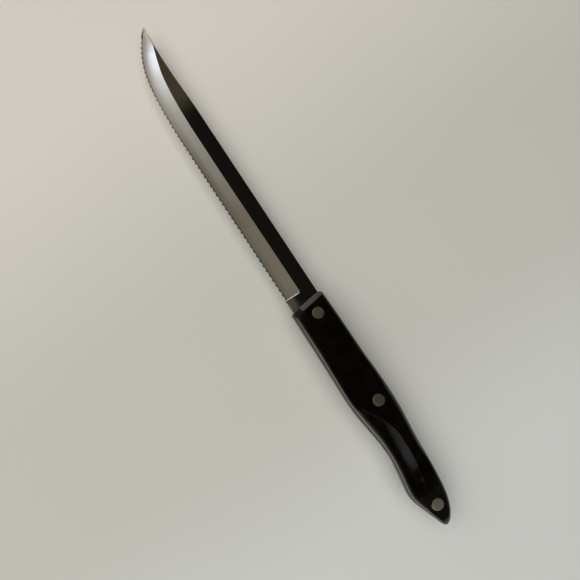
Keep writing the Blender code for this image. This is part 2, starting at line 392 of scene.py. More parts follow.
@dataclass(frozen=True)
class BladeSteel:
    """Stainless steel: polished flats and a satin hollow grind, brushed square to the edge."""

    clean: Colour = (0.60, 0.595, 0.575, 1.0)
    stained: Colour = (0.47, 0.445, 0.39, 1.0)
    stain: float = 0.35
    polish: float = 0.04
    polish_cloud: float = 0.015
    polish_wipe: float = 0.02
    satin: float = 0.085
    satin_brush: float = 0.03
    satin_cloud: float = 0.02
    cloud_scale: float = 70.0
    cloud_span: Span = (0.40, 0.70)
    wipe_scale: Point = (60.0, 900.0, 0.0)
    wipe_span: Span = (0.45, 0.75)
    brush_scale: Point = (9000.0, 220.0, 0.0)
    scratch_scale: Point = (260.0, 16000.0, 0.0)
    scratch_share: float = 0.12
    bump: Span = (0.004 * MM, 0.35)

    def material(self) -> Material:
        """Makes the blade's material.

        Returns:
            The material.
        """
        coat = Coat("blade_steel", Metallic=1.0)
        grind = coat.value("ShaderNodeUVMap", {"uv_map": GRIND_MAP})
        zone = coat.value("ShaderNodeAttribute", {"attribute_name": ZONE_NAME}, output="Fac")
        ground = (1 - (zone - Zone.GROUND.value).math("ABSOLUTE")).math("MAXIMUM", 0.0)
        cloud = coat.noise(coat.place(), self.cloud_scale, detail=3.0).step(*self.cloud_span)
        wipe = coat.noise(coat.stretched(grind, self.wipe_scale), detail=3.0).step(*self.wipe_span)
        brush = coat.noise(coat.stretched(grind, self.brush_scale), detail=3.0)
        scratch = coat.noise(coat.stretched(grind, self.scratch_scale))
        polished = self.polish + self.polish_cloud * cloud + self.polish_wipe * wipe
        satin = self.satin + self.satin_brush * brush + self.satin_cloud * cloud
        rough = polished + ground * (satin - polished)
        colour = coat.mixed(cloud * self.stain, self.clean, self.stained)
        height = ground * brush + (1 - ground) * self.scratch_share * scratch
        return coat.dress(colour, rough, height, self.bump)


@dataclass(frozen=True)
class HandleResin:
    """Near-black brown resin, buffed to a gloss and lightly scuffed by use."""

    dark: Colour = (0.0014, 0.0011, 0.0008, 1.0)
    brown: Colour = (0.0034, 0.0022, 0.0015, 1.0)
    ior: float = 1.5
    gloss: float = 0.07
    hand_rough: float = 0.05
    scuff_rough: float = 0.07
    cloud_scale: float = 140.0
    cloud_span: Span = (0.38, 0.72)
    hand_scale: float = 45.0
    hand_span: Span = (0.42, 0.70)
    buff_scale: Point = (260.0, 7000.0, 7000.0)
    buff_share: float = 0.25
    scuff_span: Span = (0.60, 0.80)
    peel_scale: float = 900.0
    bump: Span = (0.004 * MM, 0.35)

    def material(self) -> Material:
        """Makes the scales' material.

        Returns:
            The material.
        """
        coat = Coat("handle_resin", Metallic=0.0, IOR=self.ior)
        place = coat.place()
        cloud = coat.noise(place, self.cloud_scale, detail=4.0).step(*self.cloud_span)
        hand = coat.noise(place, self.hand_scale).step(*self.hand_span)
        buff = coat.noise(coat.stretched(place, self.buff_scale))
        colour = coat.mixed(cloud, self.dark, self.brown)
        rough = self.gloss + self.hand_rough * hand + self.scuff_rough * buff.step(*self.scuff_span)
        height = coat.noise(place, self.peel_scale) + self.buff_share * buff
        return coat.dress(colour, rough, height, self.bump)


@dataclass(frozen=True)
class RivetNickel:
    """Nickel silver, ground flush along the handle and dulled by handling."""

    clean: Colour = (0.70, 0.70, 0.55, 1.0)
    dull: Colour = (0.46, 0.45, 0.31, 1.0)
    tarnish: float = 0.8
    satin: float = 0.26
    belt_rough: float = 0.12
    cloud_rough: float = 0.06
    belt_scale: Point = (500.0, 14000.0, 500.0)
    cloud_scale: float = 420.0
    cloud_span: Span = (0.35, 0.70)
    bump: Span = (0.004 * MM, 0.6)

    def material(self) -> Material:
        """Makes the rivets' material.

        Returns:
            The material.
        """
        coat = Coat("rivet_nickel", Metallic=1.0)
        place = coat.place()
        belt = coat.noise(coat.stretched(place, self.belt_scale), detail=3.0)
        cloud = coat.noise(place, self.cloud_scale, detail=3.0).step(*self.cloud_span)
        colour = coat.mixed(cloud * self.tarnish, self.clean, self.dull)
        rough = self.satin + self.belt_rough * belt + self.cloud_rough * cloud
        return coat.dress(colour, rough, belt, self.bump)


@dataclass(frozen=True)
class TableTop:
    """A pale, matt, warm grey table, with light and shade painted into its colour: darker in the middle,
    lighter and warmer towards the tip, lighter and cooler towards the butt.
    """

    # pale is painted shade for the middle of the table; warm and cool are painted light, lighter and tinted,
    # for the tip end and the butt end
    pale: Colour = (0.566, 0.573, 0.536, 1.0)
    warm: Colour = (0.723, 0.691, 0.646, 1.0)
    warm_span: Span = (0.0, 0.16)
    cool: Colour = (0.633, 0.654, 0.639, 1.0)
    cool_span: Span = (-0.05, -0.14)
    dull: float = 0.62
    grain_rough: float = 0.08
    cloud_scale: float = 9.0
    cloud_drift: float = 0.02
    grain_scale: float = 1500.0
    bump: Span = (0.01 * MM, 0.25)

    def material(self) -> Material:
        """Makes the table's material, with the light's falloff along the knife painted into its colour.

        Returns:
            The material.
        """
        coat = Coat("table_top", Metallic=0.0)
        place = coat.place()
        along, _, _ = coat.split(place)
        grain = coat.noise(place, self.grain_scale)
        # painted light: the table turns lighter and warmer towards the tip, lighter and cooler towards the
        # butt
        painted_light_along = along + self.cloud_drift * coat.noise(place, self.cloud_scale, detail=3.0)
        colour = coat.mixed(painted_light_along.step(*self.warm_span), self.pale, self.warm)
        colour = coat.mixed(painted_light_along.step(*self.cool_span), colour, self.cool)
        rough = self.dull + self.grain_rough * grain
        return coat.dress(colour, rough, grain, self.bump)


@dataclass(frozen=True)
class Station:
    """One section of the handle, square to its length apart from a lean near the front."""

    x: float
    lean: float
    belly: float
    spine: float
    height: float
    belly_power: float
    spine_power: float
    back: float = math.inf

    @property
    def middle(self) -> float:
        """Returns y halfway between the belly and the spine."""
        return (self.belly + self.spine) / 2

    @property
    def depth(self) -> float:
        """Returns half the width between the belly and the spine."""
        return (self.belly - self.spine) / 2


@dataclass(frozen=True)
class FingerScoop:
    """A shallow dish in each face of the handle at its waist, which deepens towards the belly."""

    x: float = -105.0 * MM
    y: float = -2.5 * MM
    front_bow: float = 0.0236 / MM
    butt_bow: float = 0.0068 / MM
    slope: float = 0.10
    butt_slope: float = 0.0018 / MM
    steeper_from: float = -108.0 * MM
    crease: float = 0.12 * MM
    crease_end: float = 30.0

    def depth(self, x: float, y: float) -> float:
        """Measures the dish, whose crease is a little softened.

        Args:
            x: where along the handle.
            y: where across it.

        Returns:
            How deep the dish is there.
        """
        run = x - self.x
        start = self.y + (self.front_bow if run > 0 else self.butt_bow) * run * run
        past = (y - start) / self.crease
        inside = y - start if past > self.crease_end else self.crease * math.log1p(math.exp(past))
        return (self.slope + self.butt_slope * max(0.0, self.steeper_from - x)) * inside


@dataclass
class HandleForm:
    """The outside of the whole handle, which both scales, the tang and the rivet heads follow."""

    spine_side: SmoothLine = SmoothLine((
        (-150, 1.2), (-149.5, 0.5), (-148.5, -0.7), (-146.5, -2.1), (-144, -3.4), (-140, -4.95),
        (-135, -6.15), (-128, -7.05), (-118, -7.95), (-108, -8.8), (-100, -9.57), (-93, -10.3),
        (-85, -10.6), (-74, -10.25), (-62, -9.75), (-45, -9.6), (-27, -9.15)))
    belly_side: SmoothLine = SmoothLine((
        (-150, 2.6), (-149.5, 3.3), (-148, 4.2), (-145, 5.35), (-136, 8.8), (-132, 10.1), (-129.5, 10.33),
        (-125, 9.8), (-117, 8.52), (-110.5, 7.92), (-104, 8.17), (-96, 9.2), (-88, 10.3), (-82, 10.82),
        (-77, 10.93), (-70, 10.78), (-60, 10.57), (-27, 10.38)))
    thickness: SmoothLine = SmoothLine((
        (-150, 2.3), (-149.5, 2.9), (-148, 3.9), (-145, 5.2), (-141, 6.4), (-136, 7.5), (-131, 8.1),
        (-127, 8.1), (-119, 7.85), (-110, 7.7), (-101, 7.85), (-90, 8.0), (-80, 8.1), (-27, 8.1)))
    scoop: FingerScoop = FingerScoop()
    half: float = 8.1 * MM
    butt_x: float = -150.0 * MM
    nose_length: float = 19.0 * MM
    nose_steps: int = 26
    body_step: float = 0.5 * MM
    belly_power: SmoothLine = SmoothLine((
        (-150, 4.0), (-144, 6.0), (-137, 7.0), (-130, 6.0), (-112, 6.0), (-100, 5.0), (-88, 5.5), (-76, 6.5),
        (-64, 6.2), (-54, 5.2), (-27, 5.0)), 1.0)
    spine_power: SmoothLine = SmoothLine((
        (-150, 4.0), (-140, 8.0), (-122, 8.0), (-112, 4.5), (-100, 5.0), (-86, 5.0), (-72, 8.0),
        (-27, 8.0)), 1.0)
    draft: float = 0.04
    seam: float = 1.13 * MM
    arc_steps: int = 200
    arc_samples: int = 1501
    arc_evenness: float = 3.0
    foot_x: float = -27.0 * MM
    foot_lean: float = 0.165
    lean_fade: float = 20.0 * MM
    ramp_run: float = 3.1 * MM
    ramp_shoulder: float = 0.6 * MM
    ramp_slope: float = 0.78
    ramp_edge: float = 0.35 * MM
    ramp_round: float = 4.0
    ramp_pinch: tuple[float, float] = (4.4 * MM, 7.6 * MM)
    ramp_steeper: float = 5.0
    ramp_steps: int = 22
    ramp_even: float = 0.6
    crown_rounds: int = 4
    belly_corner: float = 0.8 * MM
    spine_corner: float = 2.4 * MM

    def plain_station(self, x: float) -> Station:
        """Returns the section at x, behind the front ramp."""
        lean = max(0.0, 1 - (self.foot_x - x) / self.lean_fade)
        return Station(x, lean, self.belly_side(x), self.spine_side(x), self.thickness(x),
                       self.belly_power(x), self.spine_power(x))

    def ramp_station(self, share: float) -> Station:
        """Returns a section of the front ramp.

        Args:
            share: 0 at the back of the ramp, 1 at its foot. The sections are closer near the foot.

        Returns:
            The section, with its corners rounded in plan near the foot.
        """
        pace = (1 - (1 - self.ramp_even) ** 2) / self.ramp_even
        back = self.ramp_run * ((1 - share) ** 2 if share > self.ramp_even else 1 - pace * share)
        x = self.foot_x - back
        belly = self.belly_side(x) - self.corner_inset(back, self.belly_corner)
        spine = self.spine_side(x) + self.corner_inset(back, self.spine_corner)
        round_off = (self.belly_power(x) - self.ramp_round) * (1 - back / self.ramp_run)
        return Station(x, 1 - back / self.lean_fade, belly, spine, self.half,
                       self.belly_power(x) - round_off, self.spine_power(x), back)

    def ramp_drop(self, back: float, y: float) -> float:
        """Measures the front ramp: a rounded shoulder, a bevel and a rounded edge over the foot.

        Args:
            back: how far behind the foot line the point is.
            y: the point's y, since the ramp pinches out towards the belly.

        Returns:
            The drop below the plain crown.
        """
        start, end = self.ramp_pinch
        share = min(1.0, max(0.0, (y - start) / (end - start)))
        back *= 1 + self.ramp_steeper * share * share * (3 - 2 * share)
        bevel = self.ramp_run - self.ramp_shoulder
        if back > self.ramp_run:
            return 0.0
        if back > bevel:
            return self.ramp_slope * (self.ramp_run - back) ** 2 / (2 * self.ramp_shoulder)
        fall = self.ramp_slope * (self.ramp_shoulder / 2 + bevel - back)
        return fall + self.corner_inset(back, self.ramp_edge)

    @staticmethod
    def corner_inset(back: float, radius: float) -> float:
        """Returns how far a rounded corner draws a side in, at a distance behind the corner's front."""
        corner = max(0.0, 1 - back / radius)
        return radius * (1 - math.sqrt(1 - corner * corner))

    def stations(self) -> list[Station]:
        """Places the handle's sections.

        Returns:
            The sections from butt to front.
        """
        steps = self.nose_steps
        nose = [self.butt_x + self.nose_length * (1 - math.cos(QUARTER * i / steps)) for i in range(steps)]
        ramp_back = self.foot_x - self.ramp_run
        count = round((ramp_back - nose[-1]) / self.body_step)
        body = [nose[-1] + (ramp_back - nose[-1]) * i / count for i in range(1, count)]
        ramp = [self.ramp_station(i / self.ramp_steps) for i in range(self.ramp_steps + 1)]
        return [self.plain_station(x) for x in nose + body] + ramp

    def outline(self, station: Station) -> tuple[np.ndarray, np.ndarray]:
        """Draws a section, with its points close where it turns, and without the finger scoop and the ramp.

        Args:
            station: the section.

        Returns:
            y and z of the points from the belly seam over the crown to the spine seam.
        """
        halves = []
        for side, power in ((1, station.belly_power), (-1, station.spine_power)):
            start = math.asin((self.seam / station.height) ** (power / 2))
            angle = np.linspace(start, QUARTER, self.arc_samples)
            z = station.height * np.sin(angle) ** (2 / power)
            halves.append((station.middle + side * np.cos(angle) ** (2 / power)
                           * (station.depth - self.draft * (z - self.seam)), z))
        (belly_y, belly_z), (spine_y, spine_z) = halves
        y = np.concatenate((belly_y, spine_y[-2::-1]))
        z = np.concatenate((belly_z, spine_z[-2::-1]))
        step_y, step_z = np.diff(y), np.diff(z)
        length = np.concatenate(([0.0], np.cumsum(np.hypot(step_y, step_z))))
        heading = np.unwrap(np.arctan2(step_z, step_y))
        turned = np.concatenate(([0.0, 0.0], np.cumsum(np.abs(np.diff(heading)))))
        measure = self.arc_evenness * length / length[-1] + turned / turned[-1]
        stops = np.linspace(0.0, measure[-1], self.arc_steps + 1)
        return np.interp(stops, measure, y), np.interp(stops, measure, z)

    def arc(self, station: Station) -> list[Point]:
        """Draws a section with the finger scoop and the ramp.

        Args:
            station: the section.

        Returns:
            The points from the belly seam over the crown to the spine seam.
        """
        points = []
        for y, z in zip(*(values.tolist() for values in self.outline(station))):
            z -= self.ramp_drop(station.back, y) * (z - self.seam) / (station.height - self.seam)
            z -= self.scoop.depth(station.x, y) * min(1.0, (z - self.seam) / station.height)
            points.append((station.x - self.foot_lean * station.lean * y, y, z))
        return points

    def crown(self, x: float, y: float) -> float:
        """Measures the outside at a point away from the front ramp.

        Args:
            x: where along the handle.
            y: where across it.

        Returns:
            The outside's height over the middle plane.
        """
        station = self.plain_station(x)
        power = station.belly_power if y > station.middle else station.spine_power
        z = station.height
        for _ in range(self.crown_rounds):
            share = min(1.0, abs(y - station.middle) / (station.depth - self.draft * (z - self.seam)))
            z = station.height * (1 - share ** power) ** (1 / power)
        return z - self.scoop.depth(x, y) * min(1.0, (z - self.seam) / station.height)


@dataclass
class RivetSet:
    """Where the rivets are, and the sizes that they share."""

    places: dict[str, tuple[float, float]] = field(default_factory=lambda: {
        "front": (-35.0 * MM, -1.35 * MM),
        "middle": (-85.0 * MM, -2.6 * MM),
        "butt": (-138.5 * MM, 1.15 * MM)})
    head_radius: float = 2.9 * MM
    head_seat: float = 4.0 * MM
    head_sunk: float = 0.02 * MM
    tube_radius: float = 2.2 * MM
    bore_radius: float = 1.5 * MM
    pin_reach: float = 2.9 * MM
    fit: float = 0.03 * MM
    rim: float = 0.06 * MM
    rim_run: float = 0.24 * MM
    rim_middle: Span = (0.5, 0.3)
    sides: int = 64


@dataclass
class Blade:
    """The steel in one piece: full tang, plain heel and hollow-ground, toothed blade."""

    form: HandleForm
    rivets: RivetSet
    middle_z: float
    edge_line: SmoothLine = SmoothLine((
        (-24, 8.60), (20, 8.85), (60, 9.10), (82, 9.10), (95, 8.80), (105, 8.25), (115, 7.30), (123, 6.00),
        (130, 4.05), (136, 1.60), (142, -1.85), (146.5, -4.95), (150, -8.20)))
    spine_line: SmoothLine = SmoothLine((
        (-30, -7.70), (30, -7.80), (90, -7.85), (100, -7.70), (108, -7.45), (116, -7.25), (124, -7.20),
        (132, -7.35), (140, -7.75), (150, -8.20)))
    grind_line: SmoothLine = SmoothLine((
        (-24, 8.8), (126, 8.8), (133, 8.4), (138, 7.7), (142, 6.6), (146.5, 5.0), (150, 4.0)))
    tip: Point = (150.0 * MM, -8.2 * MM, 0.0)
    heel_x: float = -20.7 * MM
    half: float = 1.15 * MM
    tang_half: float = 1.10 * MM
    edge_half: float = 0.20 * MM
    ease: float = 0.18 * MM
    belly_ease: float = 0.04 * MM
    plunge_run: float = 0.6 * MM
    plunge_stops: tuple[float, ...] = (0.97, 0.88, 0.72, 0.52, 0.32, 0.15)
    plunge_corner: float = 0.6 * MM
    wall_run: float = 0.1 * MM
    grind_linear: float = 0.35
    grind_rows: int = 10
    flat_rows: int = 3
    spine_land: float = 0.4 * MM
    tooth_pitch: float = 3.0 * MM
    tooth_depth: float = 0.65 * MM
    land: float = 0.85 * MM
    land_slope: float = -0.03
    bevel_narrow: float = 0.55 * MM
    bevel_wide: float = 1.05 * MM
    tooth_steps: int = 8
    plain_tip: float = 7.5 * MM
    shoulder_run: float = 0.25 * MM
    heel_steps: int = 8
    heel_shares: tuple[float, ...] = (0.03, 0.1, 0.25)
    crease: float = 6.0
    # Towards the tip, shares of the width or thickness that is left hold the sizes above down
    spine_land_share: float = 0.3
    ease_half_share: float = 0.3
    ease_land_share: float = 0.5
    sag_share: float = 0.1
    land_share: float = 0.2
    bevel_share: float = 0.3
    # How finely the edge is measured
    edge_samples: int = 4000
    nudge: float = 0.02 * MM
    reach_most: float = 20.0 * MM
    reach_exact: float = 0.001 * MM
    tip_gap: float = 0.15 * MM

    def __post_init__(self) -> None:
        """Measures the edge along its length."""
        self.sample_x = np.linspace(self.heel_x, self.tip[0], self.edge_samples)
        sample_y = np.array([self.edge_line(x) for x in self.sample_x])
        steps = np.hypot(np.diff(self.sample_x), np.diff(sample_y))
        self.sample_s = np.concatenate(([0.0], np.cumsum(steps)))

    @property
    def edge_length(self) -> float:
        """Returns the length of the cutting edge."""
        return float(self.sample_s[-1])

    @property
    def side_points(self) -> int:
        """Returns how many points a section has on the grind and the flat of one side."""
        return self.grind_rows + self.flat_rows

    def toothed(self, along: float) -> bool:
        """Returns whether the edge has teeth at some distance along it."""
        return along < self.edge_length - self.plain_tip

    def edge_at(self, along: float) -> tuple[float, float, float, float]:
        """Finds a point of the tooth line.

        Args:
            along: how far along the edge it is.

        Returns:
            x and y of the point, then x and y of the direction in from the edge.
        """
        nudge = self.nudge
        x = float(np.interp(along, self.sample_s, self.sample_x))
        slope = (self.edge_line(x + nudge) - self.edge_line(x - nudge)) / (2 * nudge)
        length = math.hypot(1.0, slope)
        return x, self.edge_line(x), slope / length, -1 / length

    def reach(self, x: float, y: float, in_x: float, in_y: float) -> float:
        """Measures the blade from edge to spine, by halving.

        Args:
            x: x of the edge point.
            y: y of the edge point.
            in_x: x of the direction in from the edge.
            in_y: y of that direction.

        Returns:
            How far the spine is from the edge point.
        """
        near, far = 0.0, self.reach_most
        while far - near > self.reach_exact:
            middle = (near + far) / 2
            inside = y + middle * in_y > self.spine_line(x + middle * in_x)
            near, far = (middle, far) if inside else (near, middle)
        return near

    def grind_half(self, share: float) -> float:
        """Returns half the steel's thickness in the hollow grind, at a share of the way in from the edge."""
        curve = self.grind_linear * share + (1 - self.grind_linear) * share * share
        return self.edge_half + (self.half - self.edge_half) * curve

    def ground_section(self, along: float) -> Section:
        """Draws a section of the ground blade, from the tooth over the near side to the spine and back.

        Args:
            along: how far along the edge it is.

        Returns:
            x, y, height and distance in from the edge of each point.
        """
        x, y, in_x, in_y = self.edge_at(along)
        reach = self.reach(x, y, in_x, in_y)
        land = min(self.spine_land, self.spine_land_share * reach)
        width = self.grind_line(x)
        ground = min(width - self.form.corner_inset(along, self.plunge_corner), reach - land)
        flat_half = self.half if reach - land >= width else self.grind_half(ground / width)
        ease = min(self.ease, self.ease_half_share * flat_half, self.ease_land_share * land)
        phase = (along / self.tooth_pitch) % 1.0
        hollow = 4 * phase * (1 - phase) if self.toothed(along) else 0.0
        sag = min(self.tooth_depth * hollow, self.sag_share * ground)
        flat_start = min(ground + self.wall_run, reach - ease)
        flats = [(flat_start + (reach - ease - flat_start) * i / (self.flat_rows - 1), flat_half)
                 for i in range(self.flat_rows)]
        near = self.grind_points(min(self.land, self.land_share * ground), ground, width)
        bevel = self.bevel_narrow + (self.bevel_wide - self.bevel_narrow) * hollow
        far = self.grind_points(min(bevel, self.bevel_share * ground), ground, width)
        tooth = (sag, near[0][1] - self.land_slope * (near[0][0] - sag))
        spine = (reach, flat_half - ease)
        far_side = [(d, -z) for d, z in reversed([*far, *flats, spine])]
        rows = [tooth, *near, *flats, spine, (reach, 0.0), *far_side, tooth]
        return [(x + d * in_x, y + d * in_y, z, d) for d, z in rows]

    def grind_points(self, start: float, end: float, width: float) -> list[tuple[float, float]]:
        """Returns distance and height of the points of the hollow grind on one side."""
        stops = [start + (end - start) * i / self.grind_rows for i in range(self.grind_rows + 1)]
        return [(d, self.grind_half(d / width)) for d in stops]

    def plain_section(self, x: float, lean: float, belly: float, spine: float, half: float,
                      inner: Sequence[float] = ()) -> Section:
        """Draws a plain section of the tang or heel, with as many points as a ground one.

        Args:
            x: where it is.
            lean: how much of the foot line's slant it takes.
            belly: y of its belly side.
            spine: y of its spine side.
            half: half its thickness.
            inner: distances in from the belly of the points on each flat, or nothing for even ones.

        Returns:
            x, y, height and distance in from the belly of each point.
        """
        width = belly - spine
        inner = inner or self.even_stops(width)
        near = [(0.0, half - self.belly_ease), *((d, half) for d in inner), (width, half - self.ease)]
        far_side = [(d, -z) for d, z in reversed(near)]
        rows = [(0.0, 0.0), *near, (width, 0.0), *far_side, (0.0, 0.0)]
        return [(x - self.form.foot_lean * lean * (belly - d), belly - d, z, d) for d, z in rows]

    def even_stops(self, width: float) -> list[float]:
        """Spaces the points of a plain flat.

        Args:
            width: the flat's width, from belly to spine.

        Returns:
            Their distances in from the belly.
        """
        span = width - self.belly_ease - self.ease
        return [self.belly_ease + span * i / (self.side_points - 1) for i in range(self.side_points)]

    def edge_stops(self) -> list[float]:
        """Spaces the ground sections, closer at the heel.

        Returns:
            How far along the edge each is.
        """
        step = self.tooth_pitch / self.tooth_steps
        count = int((self.edge_length - self.tip_gap) / step)
        heel = [self.plunge_corner * share for share in self.heel_shares]
        return sorted({0.0, *heel, *(step * i for i in range(1, count + 1))})

    def sections(self) -> tuple[list[Section], list[float], int]:
        """Draws every section from butt to tip.

        Returns:
            The sections, how far along each is, and which is the first ground one.
        """
        stations = self.form.stations()
        tang = [self.plain_section(s.x, s.lean, s.belly, s.spine, self.tang_half) for s in stations]
        found = [[(x, y, 0.0, d) for x, y, _, d in tang[0]], *tang]
        along = [s.x - self.heel_x for s in (stations[0], *stations)]
        start = self.form.foot_x + self.shoulder_run
        end = self.heel_x - self.plunge_run
        plunge = [d for _, _, _, d in self.ground_section(0.0)[2:2 + self.side_points]]
        for i in range(self.heel_steps + 1):
            share = i / self.heel_steps
            x = start + (end - start) * share
            belly, spine = self.edge_line(x), self.spine_line(x)
            inner = [a + (b - a) * share for a, b in zip(self.even_stops(belly - spine), plunge)]
            found.append(self.plain_section(x, 1 - share, belly, spine, self.half, inner))
            along.append(x - self.heel_x)
        found += self.plunge_sections(found[-1], self.ground_section(0.0))
        along += [-self.plunge_run * share for share in self.plunge_stops]
        first = len(found)
        for stop in self.edge_stops():
            found.append(self.ground_section(stop))
            along.append(stop)
        found.append([(*self.tip, d) for _, _, _, d in found[-1]])
        along.append(self.edge_length)
        return found, along, first

    def plunge_sections(self, plain: Section, ground: Section) -> list[Section]:
        """Draws the rounded step from the plain heel down to the hollow grind.

        Args:
            plain: the heel's last section.
            ground: the first ground section.

        Returns:
            The sections between them.
        """
        found = []
        for share in self.plunge_stops:
            shares = (share, share, 1 - math.sqrt(1 - share * share), share)
            found.append([tuple(b + (a - b) * part for a, b, part in zip(*pair, shares))
                          for pair in zip(plain, ground)])
        return found

    def zone(self, column: int, row: int, first: int, rows: int, along: float) -> Zone:
        """Tells how the face between a column and a row and the next ones was finished.

        Args:
            column: the face's column.
            row: its row, from the tooth over the near side.
            first: the first ground column.
            rows: how many points a section has.
            along: how far along the edge the column is.

        Returns:
            The finish.
        """
        inward = min(row, rows - 2 - row)
        wall = first - 1 - len(self.plunge_stops)
        if column < wall or inward > self.grind_rows:
            return Zone.POLISHED
        if column < first:
            return Zone.WALL
        return Zone.TOOTH if inward == 0 and self.toothed(along) else Zone.GROUND

    def build(self) -> Object:
        """Models the steel.

        Returns:
            The finished piece.
        """
        sections, along, first = self.sections()
        rows = len(sections[0])
        piece = Workpiece("knife_blade", sections)
        mesh = piece.obj.data
        mesh.uv_layers[0].name = GRIND_MAP
        uvs = mesh.uv_layers[GRIND_MAP].data
        zones = mesh.attributes.new(ZONE_NAME, "FLOAT", "FACE")
        for face in mesh.polygons:
            column, row = min(piece.cells[i] for i in face.vertices)
            zones.data[face.index].value = self.zone(column, row, first, rows, along[column]).value
            for loop in face.loop_indices:
                column, row = piece.cells[mesh.loops[loop].vertex_index]
                uvs[loop].uv = (along[column], sections[column][row][3])
        piece.press()
        for x, y in self.rivets.places.values():
            hole = self.rivets.tube_radius + self.rivets.fit
            piece.drill((x, y, 0.0), hole, 4 * self.half, self.rivets.sides)
        return piece.finish(self.middle_z, self.crease, BladeSteel().material())


@dataclass
class Scale:
    """One half of the handle."""

    form: HandleForm
    rivets: RivetSet
    side: Side
    middle_z: float
    crease: float = 35.0

    def build(self, resin: Material) -> Object:
        """Models the scale.

        Args:
            resin: its material.

        Returns:
            The finished piece.
        """
        turn = self.side.value
        arcs = [self.form.arc(station) for station in self.form.stations()]
        butt, foot = ([(x, y, self.form.seam) for x, y, _ in arc] for arc in (arcs[0], arcs[-1]))
        sections = [[(x, y, turn * z) for x, y, z in arc] for arc in (butt, *arcs, foot)]
        piece = Workpiece(f"{self.side.name.lower()}_handle_scale", sections)
        piece.press()
        piece.close_rim()
        self.drill(piece)
        return piece.finish(self.middle_z, self.crease, resin)

    def drill(self, piece: Workpiece) -> None:
        """Cuts the stepped rivet holes.

        Args:
            piece: the scale.
        """
        rivets = self.rivets
        turn = self.side.value
        reach = 2 * self.form.half
        for x, y in rivets.places.values():
            piece.drill((x, y, 0.0), rivets.tube_radius + rivets.fit, 2 * reach, rivets.sides)
            floor = rivets.head_seat - rivets.fit
            middle = turn * (floor + reach / 2)
            piece.drill((x, y, middle), rivets.head_radius + rivets.fit, reach, rivets.sides)


@dataclass
class Rivet:
    """One half of a two-part rivet, ground down to the handle's outside."""

    form: HandleForm
    rivets: RivetSet
    name: str
    half: Half
    middle_z: float
    dome_rings: int = 5
    crease: float = 40.0

    def profile(self) -> list[tuple[float, float]]:
        """Draws the stem.

        Returns:
            Radius and height of each ring, from the free end to under the head's rim.
        """
        rivets = self.rivets
        if self.half is Half.POST:
            pin = rivets.bore_radius - rivets.fit
            return [(pin, -rivets.pin_reach), (pin, rivets.head_seat), (rivets.head_radius, rivets.head_seat)]
        floor = -(rivets.pin_reach + rivets.fit)
        rim = rivets.head_seat - rivets.fit
        return [(rivets.bore_radius, floor), (rivets.bore_radius, rim), (rivets.tube_radius, rim),
                (rivets.tube_radius, -rivets.head_seat), (rivets.head_radius, -rivets.head_seat)]

    def build(self, nickel: Material) -> Object:
        """Models the half rivet from a sheet that is wrapped round its axis.

        Args:
            nickel: its material.

        Returns:
            The finished piece.
        """
        rivets = self.rivets
        turn = 1 if self.half is Half.POST else -1
        centre_x, centre_y = rivets.places[self.name]
        stem = self.profile()
        run, drop = rivets.rim_middle
        inside = rivets.head_radius - rivets.rim_run
        rounded = rivets.head_radius - run * rivets.rim_run
        head = [(rivets.head_radius, rivets.rim), (rounded, drop * rivets.rim)]
        head += [(inside * (1 - i / (self.dome_rings + 1)), 0.0) for i in range(self.dome_rings + 2)]
        rings = [(0.0, stem[0][1]), *stem, *head]

        sections = []
        for i in range(rivets.sides + 1):
            angle = 2 * math.pi * i / rivets.sides
            points = [(centre_x + r * math.cos(angle), centre_y + r * math.sin(angle), z) for r, z in rings]
            for row in range(len(stem) + 1, len(rings)):
                x, y, drop = points[row]
                points[row] = x, y, turn * (self.form.crown(x, y) - rivets.head_sunk - drop)
            sections.append(points)
        piece = Workpiece(f"{self.name}_rivet_{self.half.value}_half", sections)
        piece.press()
        return piece.finish(self.middle_z, self.crease, nickel)


@dataclass
class Table:
    """The plain surface that the knife lies on."""

    width: float = 4.0
    drop: float = 0.03 * MM

    def build(self) -> Object:
        """Lays the table top.

        Returns:
            The table top.
        """
        Workpiece.clear()
        bpy.ops.mesh.primitive_plane_add(size=self.width, location=(0.0, 0.0, -self.drop))
        obj = bpy.context.object
        obj.name = "table_top"
        obj.data.materials.append(TableTop().material())
        return obj


@dataclass
class PhotoCamera:
    """A phone camera held close above the knife, tilted a little towards the top of the picture."""

    above: tuple[float, float] = (-43.13 * MM, 20.24 * MM)
    height: float = 226.94 * MM
    tilt: float = 8.0
    turn: float = -122.92
    focal_pixels: float = 436.0
    frame_pixels: float = 580.0
    sensor: float = 36.0
    nearest: float = 5.0 * MM

    def build(self) -> None:
        """Sets up the scene's camera."""
        data = bpy.data.cameras.new("photo_camera")
        data.sensor_width = self.sensor
        data.lens = self.sensor * self.focal_pixels / self.frame_pixels
        data.clip_start = self.nearest
        obj = bpy.data.objects.new("photo_camera", data)
        obj.location = (*self.above, self.height)
        obj.rotation_euler = (math.radians(self.tilt), 0.0, math.radians(self.turn))
        bpy.context.scene.collection.objects.link(obj)
        bpy.context.scene.camera = obj


class Tint(Enum):
    """The colours of the room's light."""

    WARM = (1.0, 0.93, 0.80, 1.0)
    OLIVE = (1.0, 0.89, 0.64, 1.0)
    BROWN = (1.0, 0.82, 0.50, 1.0)
    PLAIN = (1.0, 0.985, 1.0, 1.0)
    COOL = (0.72, 0.785, 1.0, 1.0)
    PALE = (1.0, 0.985, 0.95, 1.0)


